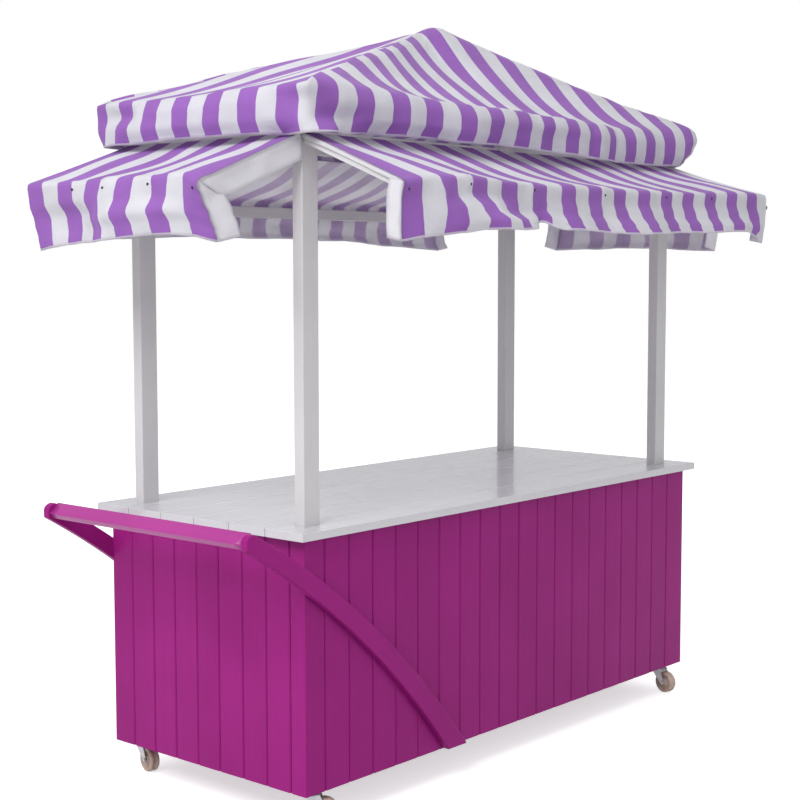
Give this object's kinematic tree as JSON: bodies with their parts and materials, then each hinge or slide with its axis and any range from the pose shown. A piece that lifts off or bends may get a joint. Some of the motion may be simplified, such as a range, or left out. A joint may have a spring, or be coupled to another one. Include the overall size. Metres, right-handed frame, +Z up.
{
  "type": "market stall on castors",
  "caption": "Wheeled wooden market stall: a boarded cabinet with a serving counter and a pull handle, corner posts, a striped hip canopy and a striped awning on every side.",
  "frame": {"origin": "on the ground under the middle of the stall", "axes": "+X along the stall's length, away from the pull handle; -Y the front; +Z up"},
  "size_m": [2.653, 1.505, 2.365],
  "materials": {
    "magenta_paint": "satin magenta paint over planed softwood boards",
    "white_paint": "white paint over planed softwood, glossier on the counter",
    "striped_cloth": "woven cloth in equal stripes of purple and white",
    "zinc": "bright zinc plating",
    "tread": "dull beige moulded wheel"
  },
  "bodies": {
    "stall": {"bottom_panel": "magenta_paint", "front_wall": "magenta_paint", "back_wall": "magenta_paint", "left_end_wall": "magenta_paint", "right_end_wall": "magenta_paint", "handle_rail_front": "magenta_paint", "handle_rail_back": "magenta_paint", "handle_grip": "magenta_paint", "base_frame": "white_paint", "top_frame": "white_paint", "counter_top": "white_paint", "post_front_left": "white_paint", "post_front_right": "white_paint", "post_back_left": "white_paint", "post_back_right": "white_paint", "top_rail_front": "white_paint", "top_rail_back": "white_paint", "top_rail_left": "white_paint", "top_rail_right": "white_paint", "hip_rafters": "white_paint", "ridge_block": "white_paint", "awning_arms_front": "white_paint", "awning_arms_back": "white_paint", "awning_arms_left": "white_paint", "awning_arms_right": "white_paint", "eave_bar_front": "white_paint", "eave_bar_back": "white_paint", "eave_bar_left": "white_paint", "eave_bar_right": "white_paint", "upper_canopy": "striped_cloth", "awning_front": "striped_cloth", "awning_back": "striped_cloth", "awning_left": "striped_cloth", "awning_right": "striped_cloth", "castor_plates": "zinc"},
    "fork_front_left": {"castor_fork_front_left": "zinc"},
    "wheel_front_left": {"castor_wheel_front_left": "tread"},
    "fork_front_right": {"castor_fork_front_right": "zinc"},
    "wheel_front_right": {"castor_wheel_front_right": "tread"},
    "fork_back_left": {"castor_fork_back_left": "zinc"},
    "wheel_back_left": {"castor_wheel_back_left": "tread"},
    "fork_back_right": {"castor_fork_back_right": "zinc"},
    "wheel_back_right": {"castor_wheel_back_right": "tread"}
  },
  "joints": [
    {"name": "swivel_front_left", "type": "hinge", "parent": "stall", "child": "fork_front_left", "pos_m": [-0.925, -0.371, 0.092], "axis": [0, 0, 1], "continuous": true},
    {"name": "roll_front_left", "type": "hinge", "parent": "fork_front_left", "child": "wheel_front_left", "pos_m": [-0.90443, -0.39551, 0.0375], "axis": [0.766, 0.6428, 0], "continuous": true},
    {"name": "swivel_front_right", "type": "hinge", "parent": "stall", "child": "fork_front_right", "pos_m": [0.925, -0.371, 0.092], "axis": [0, 0, 1], "continuous": true},
    {"name": "roll_front_right", "type": "hinge", "parent": "fork_front_right", "child": "wheel_front_right", "pos_m": [0.91944, -0.40251, 0.0375], "axis": [0.9848, -0.1736, 0], "continuous": true},
    {"name": "swivel_back_left", "type": "hinge", "parent": "stall", "child": "fork_back_left", "pos_m": [-0.925, 0.371, 0.092], "axis": [0, 0, 1], "continuous": true},
    {"name": "roll_back_left", "type": "hinge", "parent": "fork_back_left", "child": "wheel_back_left", "pos_m": [-0.93056, 0.33949, 0.0375], "axis": [0.9848, -0.1736, 0], "continuous": true},
    {"name": "swivel_back_right", "type": "hinge", "parent": "stall", "child": "fork_back_right", "pos_m": [0.925, 0.371, 0.092], "axis": [0, 0, 1], "continuous": true},
    {"name": "roll_back_right", "type": "hinge", "parent": "fork_back_right", "child": "wheel_back_right", "pos_m": [0.90049, 0.39157, 0.0375], "axis": [-0.6428, -0.766, 0], "continuous": true}
  ]
}
